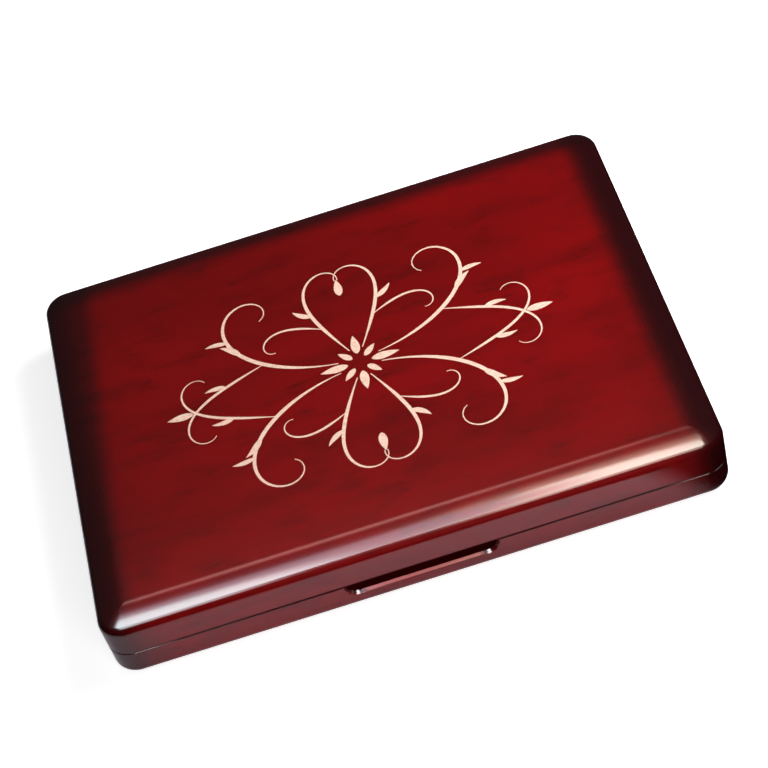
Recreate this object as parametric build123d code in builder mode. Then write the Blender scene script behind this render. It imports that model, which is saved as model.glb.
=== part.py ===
from build123d import *
import math
import os

# Reed case: a flat lacquered wooden box that holds saxophone reeds in lanes,
# one row of lanes in the base and one in the hinged lid.
# X runs along the long side, the front with the finger scoop is at -Y, Z is up.
# The origin is in the middle of the underside, on the felt that the case rests on.

# Outside of the case
case_length = 160.0
case_depth = 122.0
corner_radius = 6.5
base_height = 8.9
lid_side_height = 7.2
bottom_edge_radius = 2.2
rim_gap = 0.2
rim_edge_radius = 0.25

# Bevel round the top of the lid: a round edge, a long flat curve, and a softened crease at the flat
bevel_width = 8.2
bevel_edge_radius = 2.2
bevel_outer_slope = 17.0
bevel_inner_slope = 3.0
crease_radius = 8.0

# Walls, floor and ceiling
side_wall = 6.5
front_wall = 6.5
rear_wall = 8.0
floor_thickness = 2.4
ceiling_thickness = 3.0
pocket_radius = 4.0

# Finger scoop in the front rim of the base
scoop_length = 39.0
scoop_height = 3.5
scoop_reach = 4.6
scoop_end_radius = 3.3
scoop_floor_radius = 2.4
scoop_lip_chamfer = 0.8

# Felt sheet let into the underside
felt_thickness = 1.0
felt_recess = 0.6
felt_margin = 7.0
felt_radius = 5.0

# Velvet linings
bed_thickness = 1.2
bed_clearance = 0.15
lining_thickness = 0.5
lining_clearance = 0.05
lining_setback = 0.4

# Reed lanes: wooden strips on the bed, and a sprung brass bar across them
lane_count = 6
strip_width = 2.4
strip_height = 3.7
strip_clearance = 0.3
bar_thickness = 0.8
bar_width = 10.0
bar_from_front = 32.0
bar_edge_radius = 1.0
tongue_width = 8.0
tongue_length = 6.6
tongue_drop = 0.7
tongue_slot = 0.8

# Countersunk screws with a slot
screw_shank_radius = 0.45
screw_head_radius = 1.0
screw_length = 3.2
screw_clearance = 0.04
screw_slot_width = 0.3
screw_slot_depth = 0.25
countersink_angle = 90

# Magnets in the front rims
magnet_radius = 2.0
magnet_thickness = 1.5
magnet_clearance = 0.05
magnet_from_end = 20.0

# Butt hinges let into the rear rims
hinge_from_end = 35.0
hinge_length = 22.0
hinge_inset = 2.0
leaf_thickness = 0.8
leaf_width = 5.4
leaf_clearance = 0.1
barrel_radius = 1.5
barrel_clearance = 0.15
pocket_clearance = 0.2
knuckle_count = 5
knuckle_gap = 0.15
pin_radius = 0.6
pin_clearance = 0.04
pin_proud = 0.15
hinge_screw_spread = 6.5
hinge_screw_radius = 0.6
hinge_screw_head_radius = 1.2
hinge_screw_length = 4.0

# Stop: the rear rims are chamfered from the hinge line, and the chamfers meet when the lid is open
rear_chamfer_angle = 51.0
hinge_line_relief = 0.4

# How far a cut runs out past the surface that it starts from
cut_overrun = 1.0

# Heights that follow
shell_bottom = felt_thickness - felt_recess
seam = base_height
base_rim = seam - rim_gap / 2
lid_rim = seam + rim_gap / 2
lid_shoulder = seam + lid_side_height
edge_run = bevel_edge_radius * (1 - math.sin(math.radians(bevel_outer_slope)))
edge_rise = bevel_edge_radius * math.cos(math.radians(bevel_outer_slope))
crease_run = crease_radius * math.sin(math.radians(bevel_inner_slope))
crease_rise = crease_radius * (1 - math.cos(math.radians(bevel_inner_slope)))
bevel_sweep = math.sin(math.radians(bevel_outer_slope)) - math.sin(math.radians(bevel_inner_slope))
bevel_curve_radius = (bevel_width - edge_run - crease_run) / bevel_sweep
bevel_rise = bevel_curve_radius * (
    math.cos(math.radians(bevel_inner_slope)) - math.cos(math.radians(bevel_outer_slope))
)
lid_top = lid_shoulder + edge_rise + bevel_rise + crease_rise
base_floor = shell_bottom + floor_thickness
lid_ceiling = lid_top - ceiling_thickness

# Pocket, the same in base and lid
pocket_length = case_length - 2 * side_wall
pocket_depth = case_depth - front_wall - rear_wall
pocket_y = (front_wall - rear_wall) / 2
front_face = -case_depth / 2
rear_face = case_depth / 2
pocket_front = front_face + front_wall

# Lanes
lined_length = pocket_length - 2 * (lining_thickness + lining_clearance)
lined_depth = pocket_depth - 2 * (lining_thickness + lining_clearance)
strip_length = lined_depth - 2 * pocket_radius
strip_span = lined_length - 2 * strip_clearance - strip_width
lane_pitch = strip_span / lane_count
strip_places = [lane_pitch * (i - lane_count / 2) for i in range(lane_count + 1)]
lane_places = [lane_pitch * (i - (lane_count - 1) / 2) for i in range(lane_count)]
bar_length = strip_span + strip_width
bar_y = pocket_front + bar_from_front
bar_screw_places = strip_places[::2]

# Hinge line
hinge_y = rear_face - hinge_inset
leaf_inner = hinge_y - leaf_width
knuckle_pitch = hinge_length / knuckle_count
hinge_screw_y = (leaf_inner + hinge_y - barrel_radius) / 2
magnet_y = front_face + front_wall / 2
lip_half_length = scoop_length / 2 + scoop_lip_chamfer
corner_x = case_length / 2 - corner_radius
corner_y = case_depth / 2 - corner_radius
hinge_sides = {"left": hinge_from_end - case_length / 2, "right": case_length / 2 - hinge_from_end}
magnet_sides = {"left": magnet_from_end - case_length / 2, "right": case_length / 2 - magnet_from_end}


def finish(piece, label):
    """Name a finished piece and write it to its own file."""
    piece.part.label = label
    export_step(piece.part, f"parts/{label}.step")


def lid_half_section(half):
    """Draw half of the lid's outer section, from the middle out to half, in the current sketch."""
    inner = min(0, half - bevel_width)
    with BuildLine() as outline:
        side = Line((half, lid_rim), (half, lid_shoulder))
        edge = JernArc(side @ 1, (0, 1), bevel_edge_radius, 90 - bevel_outer_slope)
        slope = JernArc(edge @ 1, edge % 1, bevel_curve_radius, bevel_outer_slope - bevel_inner_slope)
        crease = JernArc(slope @ 1, slope % 1, crease_radius, bevel_inner_slope)
        Polyline(crease @ 1, (inner, lid_top), (inner, lid_rim), side @ 0)
    make_face(outline.edges())
    with Locations((0, lid_rim)):
        Rectangle(half, lid_top - lid_rim, align=Align.MIN, mode=Mode.INTERSECT)


def pocket_outline(inset=0.0):
    """Draw the pocket's outline, drawn in by inset, in the current sketch."""
    with Locations((0, pocket_y)):
        RectangleRounded(pocket_length - 2 * inset, pocket_depth - 2 * inset, pocket_radius - inset)


def round_bar_section(radius):
    """Draw a circle round the hinge line in the current sketch."""
    with Locations((hinge_y, seam)):
        Circle(radius)


def rim_cuts(rim, up):
    """Cut the rear chamfer, hinge seats, magnet holes and pilot holes into the current shell."""
    reach = hinge_inset + cut_overrun
    drop = up * reach * math.tan(math.radians(rear_chamfer_angle))
    with BuildSketch(Plane.YZ) as wedge:
        with BuildLine():
            Polyline((hinge_y, seam), (hinge_y + reach, seam), (hinge_y + reach, seam - drop), close=True)
        make_face()
        round_bar_section(hinge_line_relief)
    extrude(wedge.sketch, amount=case_length, both=True, mode=Mode.SUBTRACT)
    facing = (0, 0, up)
    for x in hinge_sides.values():
        with BuildSketch(Plane.YZ.offset(x)) as barrel_seat:
            round_bar_section(barrel_radius + pocket_clearance)
        barrel_reach = hinge_length / 2 + pin_proud + pocket_clearance
        extrude(barrel_seat.sketch, amount=barrel_reach, both=True, mode=Mode.SUBTRACT)
        with BuildSketch(Plane.XY.offset(rim)) as leaf_seat:
            with Locations((x, hinge_y)):
                Rectangle(
                    hinge_length + 2 * leaf_clearance,
                    leaf_width + leaf_clearance,
                    align=(Align.CENTER, Align.MAX),
                )
        extrude(leaf_seat.sketch, amount=-up * leaf_thickness, mode=Mode.SUBTRACT)
        with Locations(*[Plane(place, z_dir=facing) for place in hinge_screw_spots(x, rim)]):
            Hole(hinge_screw_radius + screw_clearance, depth=hinge_screw_length + screw_clearance)
    with Locations(*[Plane((x, magnet_y, rim), z_dir=facing) for x in magnet_sides.values()]):
        Hole(magnet_radius + magnet_clearance, depth=magnet_thickness)


def hinge_screw_spots(x, rim):
    """Places of one leaf's screws, on the face of the rim."""
    return [(x + side * hinge_screw_spread, hinge_screw_y, rim) for side in (-1, 1)]


def bar_screw_spots(face):
    """Places of a retainer bar's screws, on the bar's outer face."""
    return [(x, bar_y, face) for x in bar_screw_places]


def slotted_screws(places, facing, shank, head, length):
    """Make countersunk slotted screws whose heads lie flush at the places given."""
    with BuildPart() as screws:
        with Locations(*[Plane(place, z_dir=(0, 0, facing)) for place in places]):
            Cylinder(shank, length, align=(Align.CENTER, Align.CENTER, Align.MAX))
            Cone(shank, head, head - shank, align=(Align.CENTER, Align.CENTER, Align.MAX))
            Box(
                3 * head,
                screw_slot_width,
                screw_slot_depth,
                align=(Align.CENTER, Align.CENTER, Align.MAX),
                mode=Mode.SUBTRACT,
            )
    return screws


def make_reed_fittings(name, seat, rim, up):
    """Make the bed, wall lining, lane strips, retainer bar and screws of the base or the lid."""
    bed_face = seat + up * bed_thickness
    bar_seat = bed_face + up * strip_height
    bar_face = bar_seat + up * bar_thickness

    # Thin board covered in velvet, glued to the bottom of the pocket
    with BuildPart() as reed_bed:
        with BuildSketch(Plane.XY.offset(seat)):
            pocket_outline(bed_clearance)
        extrude(amount=up * bed_thickness)
    finish(reed_bed, f"{name}_reed_bed")

    # Velvet strip glued round the pocket's walls, on top of the bed
    with BuildPart() as wall_lining:
        with BuildSketch(Plane.XY.offset(bed_face)):
            pocket_outline(lining_clearance)
            with Locations((0, pocket_y)):
                RectangleRounded(
                    lined_length,
                    lined_depth,
                    pocket_radius - lining_thickness - lining_clearance,
                    mode=Mode.SUBTRACT,
                )
        extrude(amount=rim - up * lining_setback - bed_face)
    finish(wall_lining, f"{name}_wall_lining")

    # Wooden strips that part the lanes, glued to the bed
    with BuildPart() as lane_strips:
        with BuildSketch(Plane.XY.offset(bed_face)):
            with Locations(*[(x, pocket_y) for x in strip_places]):
                Rectangle(strip_width, strip_length)
        extrude(amount=up * strip_height)
        with Locations(*[Plane(spot, z_dir=(0, 0, up)) for spot in bar_screw_spots(bar_seat)]):
            Hole(screw_shank_radius + screw_clearance, depth=screw_length - bar_thickness + screw_clearance)
    finish(lane_strips, f"{name}_lane_strips")

    # Brass bar across the strips, with one sprung tongue over each lane
    root = bar_y - tongue_length / 2
    with BuildPart() as retainer_bar:
        with BuildSketch(Plane.XY.offset(bar_seat)):
            with Locations((0, bar_y)):
                RectangleRounded(bar_length, bar_width, bar_edge_radius)
            with Locations(*[(x, root) for x in lane_places]):
                Rectangle(
                    tongue_width + 2 * tongue_slot,
                    tongue_length + tongue_slot,
                    align=(Align.CENTER, Align.MIN),
                    mode=Mode.SUBTRACT,
                )
        extrude(amount=up * bar_thickness)
        for x in lane_places:
            with BuildSketch(Plane.YZ.offset(x)):
                with BuildLine():
                    Polyline(
                        (root, bar_seat),
                        (root, bar_face),
                        (root + tongue_length, bar_face - up * tongue_drop),
                        (root + tongue_length, bar_seat - up * tongue_drop),
                        close=True,
                    )
                make_face()
            extrude(amount=tongue_width / 2, both=True)
        with Locations(*[Plane(spot, z_dir=(0, 0, up)) for spot in bar_screw_spots(bar_face)]):
            CounterSinkHole(
                screw_shank_radius + screw_clearance,
                screw_head_radius + screw_clearance,
                counter_sink_angle=countersink_angle,
            )
    finish(retainer_bar, f"{name}_retainer_bar")

    bar_screws = slotted_screws(
        bar_screw_spots(bar_face), up, screw_shank_radius, screw_head_radius, screw_length
    )
    finish(bar_screws, f"{name}_bar_screws")


def make_hinge_leaf(label, x, rim, up, knuckles):
    """Make one brass leaf with its share of the knuckles, numbered along the barrel."""
    others = [i for i in range(knuckle_count) if i not in knuckles]
    middles = [x + knuckle_pitch * (i - (knuckle_count - 1) / 2) for i in range(knuckle_count)]
    with BuildPart() as leaf:
        with BuildSketch(Plane.XY.offset(rim)):
            with Locations((x, hinge_y)):
                Rectangle(hinge_length, leaf_width, align=(Align.CENTER, Align.MAX))
        extrude(amount=-up * leaf_thickness)
        for i in knuckles:
            with BuildSketch(Plane.YZ.offset(middles[i])):
                round_bar_section(barrel_radius)
            extrude(amount=(knuckle_pitch - knuckle_gap) / 2, both=True)
        for i in others:
            with BuildSketch(Plane.YZ.offset(middles[i])):
                round_bar_section(barrel_radius + barrel_clearance)
            extrude(amount=(knuckle_pitch + knuckle_gap) / 2, both=True, mode=Mode.SUBTRACT)
        with BuildSketch(Plane.YZ.offset(x)):
            round_bar_section(pin_radius + pin_clearance)
        extrude(amount=hinge_length, both=True, mode=Mode.SUBTRACT)
        with Locations(*[Plane(spot, z_dir=(0, 0, up)) for spot in hinge_screw_spots(x, rim)]):
            CounterSinkHole(
                hinge_screw_radius + screw_clearance,
                hinge_screw_head_radius + screw_clearance,
                counter_sink_angle=countersink_angle,
            )
    finish(leaf, label)


os.makedirs("parts", exist_ok=True)

# Finger scoop: the shape that a round-nosed cutter takes out of the front rim
with BuildPart() as scoop:
    with BuildSketch(Plane.XZ.offset(cut_overrun - front_face)):
        with Locations((0, base_rim)):
            RectangleRounded(scoop_length, 2 * scoop_height, scoop_end_radius)
    extrude(amount=-(scoop_reach + cut_overrun))
    fillet(scoop.faces().sort_by(Axis.Y)[-1].edges(), scoop_floor_radius)
    with BuildSketch(Plane.XZ.offset(-front_face)):
        with Locations((0, base_rim)):
            RectangleRounded(
                scoop_length + 2 * scoop_lip_chamfer,
                2 * (scoop_height + scoop_lip_chamfer),
                scoop_end_radius + scoop_lip_chamfer,
            )
    extrude(amount=-scoop_lip_chamfer, taper=45)

# Base: one block of wood, milled out
with BuildPart() as base_shell:
    with BuildSketch(Plane.XY.offset(shell_bottom)):
        RectangleRounded(case_length, case_depth, corner_radius)
    extrude(amount=base_rim - shell_bottom)
    fillet(base_shell.faces().sort_by(Axis.Z)[0].edges(), bottom_edge_radius)
    add(scoop.part, mode=Mode.SUBTRACT)
    lip_edges = base_shell.edges().filter_by_position(Axis.Y, front_face, front_face)
    lip_edges = lip_edges.filter_by_position(Axis.X, -lip_half_length, lip_half_length)
    lip_edges = lip_edges.filter_by_position(Axis.Z, bottom_edge_radius, base_rim, inclusive=(False, False))
    rim_edges = base_shell.faces().sort_by(Axis.Z)[-1].edges()
    fillet(lip_edges + rim_edges, rim_edge_radius)
    with BuildSketch(Plane.XY.offset(base_rim)):
        pocket_outline()
    extrude(amount=base_floor - base_rim, mode=Mode.SUBTRACT)
    with BuildSketch(Plane.XY.offset(shell_bottom)):
        RectangleRounded(case_length - 2 * felt_margin, case_depth - 2 * felt_margin, felt_radius)
    extrude(amount=felt_recess, mode=Mode.SUBTRACT)
    rim_cuts(base_rim, 1)
finish(base_shell, "base_shell")

# Felt sheet glued into the underside, a little proud of the wood
with BuildPart() as base_felt:
    with BuildSketch():
        RectangleRounded(
            case_length - 2 * (felt_margin + lining_clearance),
            case_depth - 2 * (felt_margin + lining_clearance),
            felt_radius - lining_clearance,
        )
    extrude(amount=felt_thickness)
finish(base_felt, "base_felt")

# Lid: one block of wood, bevelled on all four sides, its upright corners turned to a radius
with BuildPart() as lid_shell:
    with BuildSketch(Plane.XZ):
        lid_half_section(case_length / 2)
        mirror(about=Plane.YZ)
    extrude(amount=case_depth / 2, both=True)
    with BuildSketch(Plane.YZ):
        lid_half_section(case_depth / 2)
        mirror(about=Plane.YZ)
    extrude(amount=case_length / 2, both=True, mode=Mode.INTERSECT)
    with Locations(*[(x * case_length / 2, y * case_depth / 2, lid_rim) for x in (-1, 1) for y in (-1, 1)]):
        Box(
            2 * corner_radius,
            2 * corner_radius,
            lid_top - lid_rim,
            align=(Align.CENTER, Align.CENTER, Align.MIN),
            mode=Mode.SUBTRACT,
        )
    for quarter, (sx, sy) in enumerate(((1, 1), (-1, 1), (-1, -1), (1, -1))):
        post = Axis((sx * corner_x, sy * corner_y, 0), (0, 0, 1))
        start = Vector(1, 0, 0).rotate(Axis.Z, 90 * quarter)
        across = Vector(0, -1, 0).rotate(Axis.Z, 90 * quarter)
        with BuildSketch(Plane(origin=post.position, x_dir=start, z_dir=across)):
            lid_half_section(corner_radius)
        revolve(axis=post, revolution_arc=90)
    fillet(lid_shell.faces().sort_by(Axis.Z)[0].edges(), rim_edge_radius)
    with BuildSketch(Plane.XY.offset(lid_rim)):
        pocket_outline()
    extrude(amount=lid_ceiling - lid_rim, mode=Mode.SUBTRACT)
    rim_cuts(lid_rim, -1)
finish(lid_shell, "lid_shell")

make_reed_fittings("base", base_floor, base_rim, 1)
make_reed_fittings("lid", lid_ceiling, lid_rim, -1)

# Disc magnets, glued flush into the front rims
for side, x in magnet_sides.items():
    for name, rim, up in (("base", base_rim, 1), ("lid", lid_rim, -1)):
        with BuildPart() as magnet:
            with Locations(Plane((x, magnet_y, rim), z_dir=(0, 0, up))):
                Cylinder(magnet_radius, magnet_thickness, align=(Align.CENTER, Align.CENTER, Align.MAX))
        finish(magnet, f"{name}_magnet_{side}")

# Two butt hinges: the base leaf has the outer knuckles, the lid leaf those between
base_knuckles = range(0, knuckle_count, 2)
lid_knuckles = range(1, knuckle_count, 2)
for side, x in hinge_sides.items():
    make_hinge_leaf(f"hinge_{side}_base_leaf", x, base_rim, 1, base_knuckles)
    make_hinge_leaf(f"hinge_{side}_lid_leaf", x, lid_rim, -1, lid_knuckles)
    with BuildPart() as hinge_pin:
        with BuildSketch(Plane.YZ.offset(x)):
            round_bar_section(pin_radius)
        extrude(amount=hinge_length / 2 + pin_proud, both=True)
        chamfer(hinge_pin.edges(), pin_proud)
    finish(hinge_pin, f"hinge_{side}_pin")
    for name, rim, up in (("base", base_rim, 1), ("lid", lid_rim, -1)):
        hinge_screws = slotted_screws(
            hinge_screw_spots(x, rim), up, hinge_screw_radius, hinge_screw_head_radius, hinge_screw_length
        )
        finish(hinge_screws, f"hinge_{side}_{name}_screws")
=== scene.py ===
import math

import bmesh
import bpy
from mathutils import Matrix, Vector
from mathutils.geometry import delaunay_2d_cdt


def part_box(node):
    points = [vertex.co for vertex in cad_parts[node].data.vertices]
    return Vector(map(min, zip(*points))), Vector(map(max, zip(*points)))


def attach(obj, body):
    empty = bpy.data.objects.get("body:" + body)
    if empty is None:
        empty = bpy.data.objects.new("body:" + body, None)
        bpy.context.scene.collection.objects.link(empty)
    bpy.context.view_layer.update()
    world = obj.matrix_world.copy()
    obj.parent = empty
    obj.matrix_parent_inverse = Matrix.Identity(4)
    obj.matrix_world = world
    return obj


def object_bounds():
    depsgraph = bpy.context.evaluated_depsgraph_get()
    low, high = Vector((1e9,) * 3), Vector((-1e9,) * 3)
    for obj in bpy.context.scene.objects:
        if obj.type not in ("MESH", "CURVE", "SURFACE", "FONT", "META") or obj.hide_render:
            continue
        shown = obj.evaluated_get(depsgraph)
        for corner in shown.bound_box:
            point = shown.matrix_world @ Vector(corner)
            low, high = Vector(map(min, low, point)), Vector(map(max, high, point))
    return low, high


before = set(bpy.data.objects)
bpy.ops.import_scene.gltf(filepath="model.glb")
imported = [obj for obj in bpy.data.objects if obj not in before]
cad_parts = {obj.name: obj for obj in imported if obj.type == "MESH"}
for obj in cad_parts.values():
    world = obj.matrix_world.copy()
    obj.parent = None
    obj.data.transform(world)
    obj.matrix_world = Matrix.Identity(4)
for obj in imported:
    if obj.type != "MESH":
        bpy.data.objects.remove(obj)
cad_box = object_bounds()
mm = 0.001

# Base shell: a block of maple, stained cherry red and sprayed with clear lacquer, milled out for the reeds.
# The stain shows short dark flecks along the grain in soft patches, and is nearly black on the end grain.
# Painted shade darkens the end bevels further, and also the corners, the ends of the front face and the
# back bevel.
# The lacquer is rubbed to a satin gloss, so lamps show in it as soft-edged bands.


def srgb(code):
    """Turn an sRGB hex colour into a linear colour with alpha."""
    channels = [int(code[i:i + 2], 16) / 255 for i in (1, 3, 5)]
    return (*[c / 12.92 if c <= 0.04045 else ((c + 0.055) / 1.055) ** 2.4 for c in channels], 1.0)


def add(tree, kind, feeds=None, **settings):
    """Add a node with its settings. Each input takes a value, an output or a node's first live output."""
    node = tree.nodes.new("ShaderNode" + kind)
    for name, value in settings.items():
        setattr(node, name, value)
    for key, value in (feeds or {}).items():
        if isinstance(value, bpy.types.Node):
            value = next(output for output in value.outputs if output.enabled)
        if isinstance(value, bpy.types.NodeSocket):
            tree.links.new(value, node.inputs[key])
        else:
            node.inputs[key].default_value = value
    return node


def start_material(name):
    """Make a material with an empty node tree, and return it, its tree and its object coordinates."""
    material = bpy.data.materials.new(name)
    material.use_nodes = True
    material.node_tree.nodes.clear()
    return material, material.node_tree, add(material.node_tree, "TexCoord").outputs["Object"]


def blobs(long, wide, along):
    """The scale that gives a noise blobs of this size in mm, long along the X or Y axis."""
    lengthwise, across = 1 / (long * mm), 1 / (wide * mm)
    return (lengthwise, across, across) if along == "X" else (across, lengthwise, across)


def stained_wood(name, along, light, dark):
    """Start a stained maple, darkened in layers by noise blobs of a real size, the last in the mottle."""
    material, tree, place = start_material(name)
    colour = srgb(light)
    share = None
    for long, wide, detail, low, high, depth, in_mottle in (
        (85, 26, 1.0, 0.35, 0.70, 0.30, False),    # slow changes across the board
        (34, 5.5, 1.0, 0.50, 0.74, 0.24, False),   # growth rings cut lengthwise
        (12, 6, 2.0, 0.45, 0.72, 0.28, False),     # mottle where the stain was wiped
        (7.5, 1.3, 1.5, 0.52, 0.74, 0.62, True),   # flecks where it filled groups of pores
    ):
        stretched = add(tree, "Mapping", {"Vector": place, "Scale": blobs(long, wide, along)})
        noise = add(tree, "TexNoise", {"Vector": stretched, "Scale": 1.0, "Detail": detail,
                                       "Distortion": 0.3})
        patches = share if in_mottle else 1.0
        share = add(tree, "MapRange", {"Value": noise, "From Min": low, "From Max": high},
                    interpolation_type="SMOOTHSTEP")
        darker = add(tree, "Math", {0: share, 1: depth}, operation="MULTIPLY")
        darker = add(tree, "Math", {0: darker, 1: patches}, operation="MULTIPLY")
        colour = add(tree, "Mix", {"Factor": darker, "A": colour, "B": srgb(dark)}, data_type="RGBA")
    return material, tree, place, colour


def lacquer(tree, place, colour, thickness=1.0):
    """Finish a wood with satin lacquer, which has the faint waves of a sprayed coat."""
    waves = add(tree, "TexNoise", {"Vector": place, "Scale": 1 / (2.5 * mm), "Detail": 1.0})
    skin = add(tree, "Bump", {"Strength": 0.05, "Distance": 0.02 * mm, "Height": waves})
    coated = add(tree, "BsdfPrincipled", {
        "Base Color": colour,
        "Roughness": 0.6,
        "Specular IOR Level": 0.012,
        "Coat Weight": thickness,
        "Coat Roughness": 0.14,
        "Coat IOR": 1.5,
        "Coat Normal": skin,
    })
    add(tree, "OutputMaterial", {"Surface": coated})


def give(material, *names):
    """Put a material on CAD nodes."""
    for name in names:
        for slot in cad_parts[name].material_slots:
            slot.material = material


cherry, tree, place, colour = stained_wood("cherry_stained_maple", "X", "#800204", "#4A0102")
dark_stain_and_shade = srgb("#1C0103")
bevel_width = 8.2 * mm
creep_start, creep_end = 30 * mm, 125 * mm
least_creep, most_creep = 0.8 * mm, 5 * mm
front_start, front_steepness, end_reach = 5 * mm, 4.0, 8 * mm
left_corner_shade, right_corner_shade = 0.6, 0.9
shell_low, shell_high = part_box("lid_shell")
spot = add(tree, "SeparateXYZ", {"Vector": place})
x, y, z = spot.outputs
from_middle = add(tree, "Math", {0: x}, operation="ABSOLUTE")
past_side_crease = add(tree, "Math", {0: from_middle, 1: shell_high.x - bevel_width}, operation="SUBTRACT")
past_back_crease = add(tree, "Math", {0: y, 1: shell_high.y - bevel_width}, operation="SUBTRACT")
past_front_crease = add(tree, "Math", {0: shell_low.y + bevel_width, 1: y}, operation="SUBTRACT")
past_mitre = add(tree, "Math", {0: past_side_crease, 1: past_front_crease}, operation="SUBTRACT")
on_end_bevel = add(tree, "Math", {0: past_side_crease, 1: past_mitre}, operation="MINIMUM")
to_back_left = add(tree, "Math", {0: y, 1: x}, operation="SUBTRACT")
creep = add(tree, "MapRange", {"Value": to_back_left, "From Min": creep_start, "From Max": creep_end,
                               "To Min": least_creep, "To Max": most_creep})
crept = add(tree, "Math", {0: on_end_bevel, 1: creep}, operation="ADD")
down_front = add(tree, "Math", {0: past_front_crease, 1: front_steepness,
                                2: -front_steepness * front_start}, operation="MULTIPLY_ADD")
near_end = add(tree, "Math", {0: past_side_crease, 1: end_reach}, operation="ADD")
front_end = add(tree, "Math", {0: down_front, 1: near_end}, operation="MINIMUM")
corner_shade = add(tree, "MapRange", {"Value": x, "From Min": shell_low.x, "From Max": shell_high.x,
                                      "To Min": left_corner_shade, "To Max": right_corner_shade})
# Layers of dark stain and painted shade: a value, where it starts and ends, and how dark it gets.
for value, start, end, depth in (
    (past_side_crease, -14 * mm, 0, 0.15),      # a little darker towards the ends of the board
    (crept, -3 * mm, 3.5 * mm, 0.72),           # end bevels: partly end grain that takes more stain, partly painted shade; it reaches further in towards the back left
    (past_side_crease, -2 * mm, 5 * mm, corner_shade),  # painted shade round the corners, more on the right
    (front_end, 0, 12 * mm, 0.6),               # painted shade at the ends of the front face
    (past_back_crease, -3 * mm, 5 * mm, 0.85),  # painted shade on the back bevel, which faces away from the lamps
):
    share = add(tree, "MapRange", {"Value": value, "From Min": start, "From Max": end, "To Max": depth},
                interpolation_type="SMOOTHSTEP")
    colour = add(tree, "Mix", {"Factor": share, "A": colour, "B": dark_stain_and_shade}, data_type="RGBA")

# The finger scoop is painted dark inside as shade under the lid, with hardly any lacquer, and its lip is
# pale pink: stain rubbed thin by fingers, and a painted highlight that is paler towards the right.
# Each area is a box between walls: a value, where the wall is, and which way and how softly it fades.
scoop_half, scoop_high, scoop_back, scoop_shade = 21 * mm, 8.7 * mm, 6 * mm, 0.83
lip_half, lip_low, lip_high, lip_front, lip_back = 16 * mm, 4.5 * mm, 5.5 * mm, 0.25 * mm, 0.85 * mm
hair, soft_end, full_share, lip_rise = 0.03 * mm, 60, 0.9, 0.9 * mm
along_lip = add(tree, "MapRange", {"Value": x, "From Min": -lip_half, "From Max": lip_half})
rubbed_wood_and_highlight = add(tree, "Mix", {"Factor": along_lip, "A": srgb("#E24C5C"), "B": srgb("#EC8474")},
                  data_type="RGBA")
shares = []
for walls in (
    ((from_middle, scoop_half, -1), (y, shell_low.y + lip_front, 1), (y, shell_low.y + scoop_back, -1),
     (z, lip_low, 1), (z, scoop_high, -1)),
    ((from_middle, lip_half, -soft_end), (y, shell_low.y + lip_front, 1), (y, shell_low.y + lip_back, -1),
     (z, lip_low, 1), (z, lip_high, -1)),
):
    inside = full_share
    for value, wall, fade in walls:
        within = add(tree, "MapRange", {"Value": value, "From Min": wall, "From Max": wall + fade * hair})
        inside = add(tree, "Math", {0: within, 1: inside}, operation="MULTIPLY")
    shares.append(inside)
in_scoop, on_lip = shares
# Painted shade inside the scoop, under the lid.
darker = add(tree, "Math", {0: in_scoop, 1: scoop_shade}, operation="MULTIPLY")
colour = add(tree, "Mix", {"Factor": darker, "A": colour, "B": dark_stain_and_shade}, data_type="RGBA")
# The lip's pale pink is partly stain rubbed thin and partly a painted highlight, paler towards the right.
colour = add(tree, "Mix", {"Factor": on_lip, "A": colour, "B": rubbed_wood_and_highlight}, data_type="RGBA")
behind_lip = add(tree, "Math", {0: y, 1: shell_low.y + lip_back}, operation="GREATER_THAN")
above_lip = add(tree, "Math", {0: z, 1: lip_high + lip_rise}, operation="GREATER_THAN")
off_lip = add(tree, "Math", {0: behind_lip, 1: above_lip}, operation="MAXIMUM")
unlacquered = add(tree, "Math", {0: in_scoop, 1: off_lip}, operation="MULTIPLY")

# The edges of the rims along the seam are painted dark as shade in the gap between lid and base, and the
# lacquer is wiped thin there, but not at the corners.
rim_edge, rim_fade, rim_share = 0.3 * mm, 0.2 * mm, 0.8
wiped_half, wiped_fade = 62 * mm, 8 * mm
above_seam = add(tree, "Math", {0: z, 1: shell_low.z}, operation="SUBTRACT")
from_seam = add(tree, "Math", {0: above_seam}, operation="ABSOLUTE")
on_rim = add(tree, "MapRange", {"Value": from_seam, "From Min": rim_edge, "From Max": rim_edge + rim_fade,
                                "To Min": rim_share, "To Max": 0.0})
on_long_side = add(tree, "MapRange", {"Value": from_middle, "From Min": wiped_half,
                                      "From Max": wiped_half + wiped_fade, "To Min": 1.0, "To Max": 0.0})
wiped = add(tree, "Math", {0: on_rim, 1: on_long_side}, operation="MULTIPLY")
# Painted shade along the seam.
colour = add(tree, "Mix", {"Factor": wiped, "A": colour, "B": dark_stain_and_shade}, data_type="RGBA")
unlacquered = add(tree, "Math", {0: unlacquered, 1: wiped}, operation="MAXIMUM")
lacquer(tree, place, colour, add(tree, "Math", {0: 1.0, 1: unlacquered}, operation="SUBTRACT"))
give(cherry, "base_shell")

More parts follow.
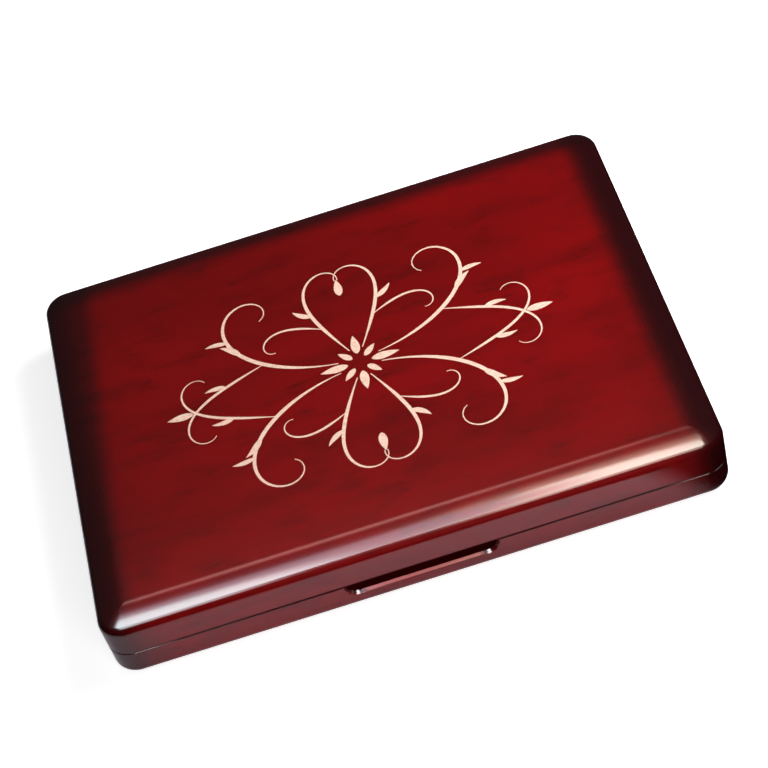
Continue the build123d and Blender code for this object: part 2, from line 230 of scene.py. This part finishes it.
# Felt sheet: pressed wool, black, glued into a shallow recess in the underside so that the case won't slip.
# The short fibres lie every way, so it has no weave and no shine, only a fleck, drawn coarser than real.
felt, tree, place = start_material("pressed_wool_felt")
strands = add(tree, "Mapping", {"Vector": place, "Scale": blobs(0.9, 0.25, "X")})
fibres = add(tree, "TexNoise", {"Vector": strands, "Scale": 1.0, "Detail": 4.0})
fuzz = add(tree, "TexNoise", {"Vector": place, "Scale": 1 / (0.3 * mm), "Detail": 3.0})
fleck = add(tree, "MapRange", {"Value": fibres, "From Min": 0.35, "From Max": 0.7})
wool = add(tree, "BsdfPrincipled", {
    "Base Color": add(tree, "Mix", {"Factor": fleck, "A": srgb("#17171A"), "B": srgb("#34343A")},
                      data_type="RGBA"),
    "Roughness": 0.95,
    "Specular IOR Level": 0.1,
    "Sheen Weight": 0.15,
    "Sheen Roughness": 0.6,
    "Normal": add(tree, "Bump", {"Strength": 0.5, "Distance": 0.15 * mm, "Height": fuzz}),
})
add(tree, "OutputMaterial", {"Surface": wool})
give(felt, "base_felt")

# Reed beds and wall linings: thin board wrapped in black cotton velvet and glued into the two pockets. The
# pile leans in drifts, which gives dark and light patches, and its tips shine pale at a low angle. They are
# drawn 0.3 mm wide, coarser than real, so that they show.
velvet, tree, place = start_material("cotton_velvet")
leaning = add(tree, "Mapping", {"Vector": place, "Scale": blobs(22, 9, "Y")})
drifts = add(tree, "TexNoise", {"Vector": leaning, "Scale": 1.0, "Detail": 3.0, "Distortion": 0.6})
drift = add(tree, "MapRange", {"Value": drifts, "From Min": 0.35, "From Max": 0.65})
pile = add(tree, "TexNoise", {"Vector": place, "Scale": 1 / (0.3 * mm), "Detail": 2.0})
tips = add(tree, "MapRange", {"Value": pile, "From Min": 0.3, "From Max": 0.75, "To Max": 0.6})
nap = add(tree, "Mix", {"Factor": drift, "A": srgb("#0B0B0D"), "B": srgb("#1B1B20")}, data_type="RGBA")
cotton = add(tree, "BsdfPrincipled", {
    "Base Color": add(tree, "Mix", {"Factor": tips, "A": nap, "B": srgb("#2A2A30")}, data_type="RGBA"),
    "Roughness": 0.9,
    "Specular IOR Level": 0.1,
    "Sheen Weight": 0.6,
    "Sheen Roughness": 0.35,
    "Sheen Tint": srgb("#9A9AA8"),
    "Normal": add(tree, "Bump", {"Strength": 0.6, "Distance": 0.2 * mm, "Height": pile}),
})
add(tree, "OutputMaterial", {"Surface": cotton})
for part in ("base", "lid"):
    give(velvet, f"{part}_reed_bed", f"{part}_wall_lining")

# Lane strips: thin strips of the same wood and finish, glued to the beds from front to back between reeds.
# Their grain runs along the strip, so it is the same stain turned by a quarter.
strip_wood, tree, place, colour = stained_wood("cherry_stained_strip", "Y", "#7F0204", "#4A0102")
lacquer(tree, place, colour)
give(strip_wood, "base_lane_strips", "lid_lane_strips")

# Retainer bars, hinges, pins and screws: rolled brass, polished and clear lacquered.
# It keeps fine rolling lines along the bar, drawn 0.12 mm wide so that they show, and goes a little brown
# in patches.
rolled_brass, tree, place = start_material("rolled_brass")
patches = add(tree, "Mapping", {"Vector": place, "Scale": blobs(7, 5, "X")})
tarnish = add(tree, "TexNoise", {"Vector": patches, "Scale": 1.0, "Detail": 3.0})
brown = add(tree, "MapRange", {"Value": tarnish, "From Min": 0.4, "From Max": 0.75})
lines = add(tree, "Mapping", {"Vector": place, "Scale": blobs(9, 0.12, "X")})
rolling = add(tree, "TexNoise", {"Vector": lines, "Scale": 1.0, "Detail": 2.0})
brass = add(tree, "BsdfPrincipled", {
    "Base Color": add(tree, "Mix", {"Factor": brown, "A": srgb("#EBC873"), "B": srgb("#DDB566")},
                      data_type="RGBA"),
    "Metallic": 1.0,
    "Roughness": add(tree, "MapRange", {"Value": rolling, "From Min": 0.3, "From Max": 0.7,
                                        "To Min": 0.25, "To Max": 0.29}),
    "Normal": add(tree, "Bump", {"Strength": 0.03, "Distance": 0.01 * mm, "Height": rolling}),
})
add(tree, "OutputMaterial", {"Surface": brass})
for part in ("base", "lid"):
    give(rolled_brass, f"{part}_retainer_bar", f"{part}_bar_screws")
for side in ("left", "right"):
    give(rolled_brass, f"hinge_{side}_pin")
    for part in ("base", "lid"):
        give(rolled_brass, f"hinge_{side}_{part}_leaf", f"hinge_{side}_{part}_screws")

# Magnets: neodymium discs with bright nickel plating, glued flush into the front rims to hold the lid shut.
# Plating is smooth and a little warm, with scuffs, drawn 0.1 mm wide, where the two discs meet.
plated, tree, place = start_material("nickel_plating")
scratches = add(tree, "Mapping", {"Vector": place, "Scale": blobs(1.6, 0.1, "X")})
scuffs = add(tree, "TexNoise", {"Vector": scratches, "Scale": 1.0, "Detail": 2.0})
worn = add(tree, "MapRange", {"Value": scuffs, "From Min": 0.45, "From Max": 0.8})
nickel = add(tree, "BsdfPrincipled", {
    "Base Color": add(tree, "Mix", {"Factor": worn, "A": srgb("#D2CEC6"), "B": srgb("#AAA69E")},
                      data_type="RGBA"),
    "Metallic": 1.0,
    "Roughness": add(tree, "MapRange", {"Value": worn, "To Min": 0.16, "To Max": 0.36}),
})
add(tree, "OutputMaterial", {"Surface": nickel})
for part in ("base", "lid"):
    give(plated, f"{part}_magnet_left", f"{part}_magnet_right")

# Lid shell: milled from the same board as the base, with a bevel round its top, and finished with it.
# The end bevels are nearly black, partly with stain on the end grain and partly with painted shade, the
# back bevel is nearly black with painted shade, and the front one shows the overhead lamps.
give(cherry, "lid_shell")

# Ornament: a common scroll pattern engraved by laser through the stain, down to the bare pale maple. It is
# drawn in one quarter and mirrored, as a skin that stands a hair proud of the lid. Its strokes swell and
# taper, and the dry wood is a little speckled. Lines and widths are in mm, and curls in radians per mm.
lid_top = shell_high.z
proud, sunk = 0.02 * mm, 0.05 * mm


def scroll(start, heading, length, curl_start, curl_end, sharpen, steps=48):
    """Points in mm of a line that curls more and more: its curvature goes from one value to the other."""
    x, y = start
    angle = math.radians(heading)
    points = [(x, y)]
    step = length / steps
    for i in range(steps):
        angle += (curl_start + (curl_end - curl_start) * ((i + 0.5) / steps) ** sharpen) * step
        x += math.cos(angle) * step
        y += math.sin(angle) * step
        points.append((x, y))
    return points


def pen_stroke(points, thin, thick, peak):
    """A line with widths that swell from thin to thick and taper off again."""
    last = len(points) - 1
    widths = []
    for i in range(last + 1):
        t = i / last
        rise = t / peak if t < peak else (1 - t) / (1 - peak)
        widths.append(thin + (thick - thin) * math.sin(rise * math.pi / 2) ** 1.5)
    return points, widths


def leaf(start, heading, length, width, bend=0.0):
    """A leaf: a short line that is widest near its foot and ends in a point."""
    points = scroll(start, heading, length, bend, bend, 1.0, steps=20)
    last = len(points) - 1
    return points, [0.08 + width * math.sin(math.pi * (i / last) ** 0.75) ** 0.9 for i in range(last + 1)]


def radial_leaf(turn, reach, length, width):
    """A leaf that points away from the middle of the lid."""
    angle = math.radians(turn)
    return leaf((math.cos(angle) * reach, math.sin(angle) * reach), turn, length, width)


stem = scroll((5.5, 1.8), 8, 62, 0.022, 0.30, 3.2)
side_branch = scroll(stem[16], -18, 40, -0.004, -0.36, 3.0)
upper_stem = scroll((1.8, 5.0), 62, 42, 0.005, 0.34, 3.0)
upper_branch = scroll(upper_stem[13], 30, 24, -0.02, -0.5, 2.5)
quarter = [
    pen_stroke(stem, 0.25, 1.15, 0.35),
    pen_stroke(side_branch, 0.2, 0.85, 0.3),
    pen_stroke(upper_stem, 0.25, 1.0, 0.35),
    pen_stroke(upper_branch, 0.2, 0.7, 0.3),
    leaf(stem[22], 62, 7, 1.7, -0.08),
    leaf(stem[27], 20, 6, 1.4, -0.08),
    leaf(side_branch[14], 20, 6, 1.4, -0.1),
    leaf(upper_stem[20], 20, 6, 1.5, 0.1),
]
strokes = [
    ([(flip_x * x, flip_y * y) for x, y in points], widths)
    for points, widths in quarter for flip_x in (1, -1) for flip_y in (1, -1)
]
half_length, half_depth = 45.5, 25.5
for turn, reach, outer, bud in ((0, half_length, 7.0, 7.5), (90, half_depth, 6.0, 6.5)):
    for facing in (turn, turn + 180):
        strokes.append(radial_leaf(facing, reach, outer, 2.2))
        strokes.append(radial_leaf(facing, 3.2, bud, 2.3))
strokes += [radial_leaf(turn, 2.4, 4.6, 1.7) for turn in (45, 135, 225, 315)]

outline_points, outline_faces = [], []
for points, widths in strokes:
    left_edge, right_edge = [], []
    for i, width in enumerate(widths):
        ahead = Vector(points[min(i + 1, len(points) - 1)]) - Vector(points[max(i - 1, 0)])
        across = ahead.normalized().orthogonal() * width / 2
        left_edge.append(Vector(points[i]) + across)
        right_edge.append(Vector(points[i]) - across)
    first = len(outline_points)
    outline_points += right_edge + left_edge[::-1]
    outline_faces.append(list(range(first, len(outline_points))))
corners, _, triangles, _, _, inside_strokes = delaunay_2d_cdt(outline_points, [], outline_faces, 0, 1e-5)

skin = bmesh.new()
used = sorted({i for triangle, within in zip(triangles, inside_strokes) if within for i in triangle})
vertices = {i: skin.verts.new((corners[i].x * mm, corners[i].y * mm, lid_top - sunk)) for i in used}
for triangle, within in zip(triangles, inside_strokes):
    if within:
        skin.faces.new([vertices[i] for i in triangle])
raised = bmesh.ops.extrude_face_region(skin, geom=skin.faces[:])["geom"]
raised = [part for part in raised if isinstance(part, bmesh.types.BMVert)]
bmesh.ops.translate(skin, verts=raised, vec=(0, 0, proud + sunk))
bmesh.ops.recalc_face_normals(skin, faces=skin.faces)
ornament = bpy.data.objects.new("lid_ornament", bpy.data.meshes.new("lid_ornament"))
skin.to_mesh(ornament.data)
skin.free()
bpy.context.scene.collection.objects.link(ornament)

engraved, tree, place = start_material("laser_engraved_maple")
burns = add(tree, "Mapping", {"Vector": place, "Scale": blobs(0.9, 0.3, "X")})
speckle = add(tree, "TexNoise", {"Vector": burns, "Scale": 1.0, "Detail": 3.0})
scorch = add(tree, "MapRange", {"Value": speckle, "From Min": 0.45, "From Max": 0.75, "To Max": 0.7})
dry = add(tree, "BsdfPrincipled", {
    "Base Color": add(tree, "Mix", {"Factor": scorch, "A": srgb("#FFDAC4"), "B": srgb("#D39882")},
                      data_type="RGBA"),
    "Roughness": 0.8,
    "Specular IOR Level": 0.25,
    "Normal": add(tree, "Bump", {"Strength": 0.3, "Distance": 0.03 * mm, "Height": speckle}),
})
add(tree, "OutputMaterial", {"Surface": dry})
ornament.data.materials.append(engraved)
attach(ornament, "lid")

# Table: a plain white table that keeps the case's soft shadow. It gives off its own white to the camera,
# more where the lamps don't reach, so that it shows as plain white. What the lacquer mirrors is a painted
# reflection: a white sheet round the case that only gloss sees, which ends a little way out, is cut off on
# the right and at the front right corner, and is black beyond.
table_size = 6.0
table_glow, far_glow, mirrored_glow = 0.88, 1.16, 0.27
lamps_reach, lamps_end = 0.25, 0.9
sheet_reach, sheet_fade = 30 * mm, 30 * mm
corner_cut, side_cut, cut_fade = 91 * mm, 70 * mm, 9 * mm
corner_direction = (0.736, -0.677, 0)
bpy.ops.mesh.primitive_plane_add(size=table_size, location=(0, 0, 0))
table = bpy.context.object
table.name = "studio_table"
white, tree, place = start_material("white_table")
rays = add(tree, "LightPath")
spot = add(tree, "SeparateXYZ", {"Vector": place})
beside = add(tree, "Math", {0: spot.outputs["X"]}, operation="ABSOLUTE")
beside = add(tree, "Math", {0: beside, 1: cad_box[1].x}, operation="SUBTRACT")
before = add(tree, "Math", {0: spot.outputs["Y"]}, operation="ABSOLUTE")
before = add(tree, "Math", {0: before, 1: cad_box[1].y}, operation="SUBTRACT")
outside = add(tree, "Math", {0: beside, 1: before}, operation="MAXIMUM")
near = add(tree, "MapRange", {"Value": outside, "From Min": sheet_reach,
                              "From Max": sheet_reach + sheet_fade, "To Min": 1.0, "To Max": 0.0},
           interpolation_type="SMOOTHSTEP")
to_corner = add(tree, "VectorMath", {0: place, 1: corner_direction}, operation="DOT_PRODUCT")
past_corner_cut = add(tree, "Math", {0: to_corner.outputs["Value"], 1: corner_cut}, operation="SUBTRACT")
past_side_cut = add(tree, "Math", {0: spot.outputs["X"], 1: side_cut}, operation="SUBTRACT")
past_cut = add(tree, "Math", {0: past_corner_cut, 1: past_side_cut}, operation="MAXIMUM")
before_cut = add(tree, "MapRange", {"Value": past_cut, "From Max": cut_fade, "To Min": 1.0, "To Max": 0.0},
                 interpolation_type="SMOOTHSTEP")
sheet = add(tree, "Math", {0: near, 1: before_cut}, operation="MULTIPLY")
sheet_white = add(tree, "Mix", {"Factor": sheet, "A": srgb("#000000"), "B": srgb("#EFEAF4")},
                  data_type="RGBA")
seen_white = add(tree, "Mix", {"Factor": rays.outputs["Is Glossy Ray"], "A": srgb("#EFEFEF"),
                               "B": sheet_white}, data_type="RGBA")
direct = add(tree, "Math", {0: rays.outputs["Is Camera Ray"], 1: rays.outputs["Is Transmission Ray"]},
             operation="MAXIMUM")
away = add(tree, "VectorMath", {0: place}, operation="LENGTH")
shown_glow = add(tree, "MapRange", {"Value": away.outputs["Value"], "From Min": lamps_reach,
                                    "From Max": lamps_end, "To Min": table_glow, "To Max": far_glow})
direct = add(tree, "Math", {0: direct, 1: shown_glow}, operation="MULTIPLY")
glow = add(tree, "Mix", {"Factor": rays.outputs["Is Glossy Ray"], "A": direct, "B": mirrored_glow})
lit = add(tree, "AddShader", {0: add(tree, "BsdfDiffuse", {"Color": seen_white}),
                              1: add(tree, "Emission", {"Color": seen_white, "Strength": glow})})
add(tree, "OutputMaterial", {"Surface": lit})
table.data.materials.append(white)

# Studio room: white behind the table for the camera, and dark for what the lacquer mirrors. It is a little
# less dark towards the back of the room, which shows in the flat of the lid.
room_light, mirrored_front, mirrored_back, back_start = 0.06, 0.015, 0.06, 0.6
world = bpy.data.worlds.new("studio_room")
bpy.context.scene.world = world
world.use_nodes = True
tree = world.node_tree
tree.nodes.clear()
rays = add(tree, "LightPath")
direction = add(tree, "SeparateXYZ", {"Vector": add(tree, "TexCoord").outputs["Generated"]})
mirrored = add(tree, "MapRange", {"Value": direction.outputs["Y"], "From Min": 0.0, "From Max": back_start,
                                  "To Min": mirrored_front, "To Max": mirrored_back})
strength = add(tree, "Mix", {"Factor": rays.outputs["Is Glossy Ray"], "A": room_light, "B": mirrored})
direct = add(tree, "Math", {0: rays.outputs["Is Camera Ray"], 1: rays.outputs["Is Transmission Ray"]},
             operation="MAXIMUM")
strength = add(tree, "Mix", {"Factor": direct, "A": strength, "B": 1.0})
background = add(tree, "Background", {"Color": srgb("#FFFFFF"), "Strength": strength})
add(tree, "OutputWorld", {"Surface": background})

# Lamps: plain white ones light the case, a key on the right and a fill in front. Others only show in its
# finishes: softboxes hung overhead, lamps in front that are flagged off all but the base shell, and large
# dim softboxes that are flagged off all but the metal. Places and sizes are in metres.


def softbox(name, place, size, radiance, colour, aim=None, mirrored=True):
    """An oval lamp of a given radiance, level or aimed. It shows in gloss, or else lights surfaces."""
    lamp = bpy.data.lights.new(name, "AREA")
    lamp.shape = "ELLIPSE"
    lamp.size, lamp.size_y = size
    area = math.pi / 4 * size[0] * size[1]
    lamp.energy = radiance * math.pi * area
    lamp.color = srgb(colour)[:3]
    box = bpy.data.objects.new(name, lamp)
    bpy.context.scene.collection.objects.link(box)
    box.location = place
    if aim:
        box.rotation_euler = (Vector(aim) - box.location).to_track_quat("-Z", "Y").to_euler()
    box.visible_camera = False
    box.visible_glossy = mirrored
    box.visible_diffuse = not mirrored
    return box


hang = 0.62
middle = (0, 0, 20 * mm)
softbox("key_right", (0.24, 0.05, 0.25), (0.28, 0.28), 7.9, "#FFFFFF", middle, mirrored=False)
softbox("fill_front", (0.10, -0.60, 0.35), (0.45, 0.45), 3.6, "#FFFFFF", middle, mirrored=False)

# Overhead hang a cool softbox on the left and a warm one on the right, with dimmer ones round and between
# them, which show in the front bevel. The strips behind them show in the bevel's crease.
for name, left_end, right_end, front, rear, radiance, colour in (
    ("overhead_left", -0.340, -0.030, -0.120, 0.085, 21.0, "#ECFBFF"),
    ("overhead_left_halo", -0.300, 0.050, -0.010, 0.150, 5.0, "#F0E8FF"),
    ("overhead_left_front", -0.320, -0.080, -0.360, -0.090, 9.0, "#ECFBFF"),
    ("overhead_middle", -0.100, 0.090, 0.014, 0.080, 8.5, "#FFC4C8"),
    ("overhead_right", -0.022, 0.180, -0.110, 0.098, 25.0, "#FFF5E6"),
    ("overhead_right_front", 0.030, 0.170, -0.340, -0.080, 9.0, "#FFF0E0"),
    ("overhead_right_halo", -0.040, 0.210, 0.000, 0.170, 5.0, "#FFCFB8"),
    ("rear_strip", -0.270, 0.150, 0.304, 0.370, 8.5, "#FFBCB6"),
    ("rear_strip_right", 0.060, 0.280, 0.290, 0.380, 1.5, "#FFC4B4"),
):
    location = ((left_end + right_end) / 2, (front + rear) / 2, hang)
    softbox(name, location, (right_end - left_end, rear - front), radiance, colour)

# The lamps in front glint at the ends of the scoop's lip and in the rim at the right corner. The large dim
# ones give the brass and the nickel a pale studio to mirror.
base_only = bpy.data.collections.new("base_only")
base_only.objects.link(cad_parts["base_shell"])
metal_only = bpy.data.collections.new("metal_only")
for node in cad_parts.values():
    if node.material_slots[0].material in (rolled_brass, plated):
        metal_only.objects.link(node)
for name, location, aim, size, radiance, parts in (
    ("front_left", (-0.14, -0.53, 0.34), middle, (0.17, 0.17), 24.0, base_only),
    ("front_right", (0.14, -0.53, 0.34), middle, (0.17, 0.17), 24.0, base_only),
    ("front_corner", (0.42, -0.30, 0.22), middle, (0.30, 0.30), 5.0, base_only),
    ("metal_overhead", (0, -0.10, 0.80), middle, (1.4, 1.1), 1.4, metal_only),
    ("metal_front", (0, -0.90, 0.30), middle, (1.4, 0.6), 1.0, metal_only),
    ("metal_low", (0, -0.55, 0.004), (0, -0.55, 1), (1.4, 0.8), 0.8, metal_only),
):
    box = softbox(name, location, size, radiance, "#FFFFFF", aim)
    box.light_linking.receiver_collection = parts

# Camera: looks down at the case from the front, turned so that the case lies askew in the square frame. Its
# place and lens are fitted to the outlines of the photographed case.
azimuth, elevation, roll = math.radians(0.464), math.radians(47.59), math.radians(-17.76)
distance, shift_right, shift_up = 587.1 * mm, 4.21 * mm, 5.67 * mm
focal_length, sensor_width = 103.2, 36.0
back = Vector((
    math.sin(azimuth) * math.cos(elevation),
    -math.cos(azimuth) * math.cos(elevation),
    math.sin(elevation),
))
right = Vector((math.cos(azimuth), math.sin(azimuth), 0))
up = back.cross(right)
turned = Matrix((
    right * math.cos(roll) + up * math.sin(roll),
    -right * math.sin(roll) + up * math.cos(roll),
    back,
)).transposed()
camera = bpy.data.objects.new("camera", bpy.data.cameras.new("camera"))
bpy.context.scene.collection.objects.link(camera)
camera.data.lens = focal_length
camera.data.sensor_width = sensor_width
camera.matrix_world = Matrix.Translation(
    back * distance + right * shift_right + up * shift_up
) @ turned.to_4x4()
bpy.context.scene.camera = camera
bpy.context.scene.view_settings.view_transform = "Standard"
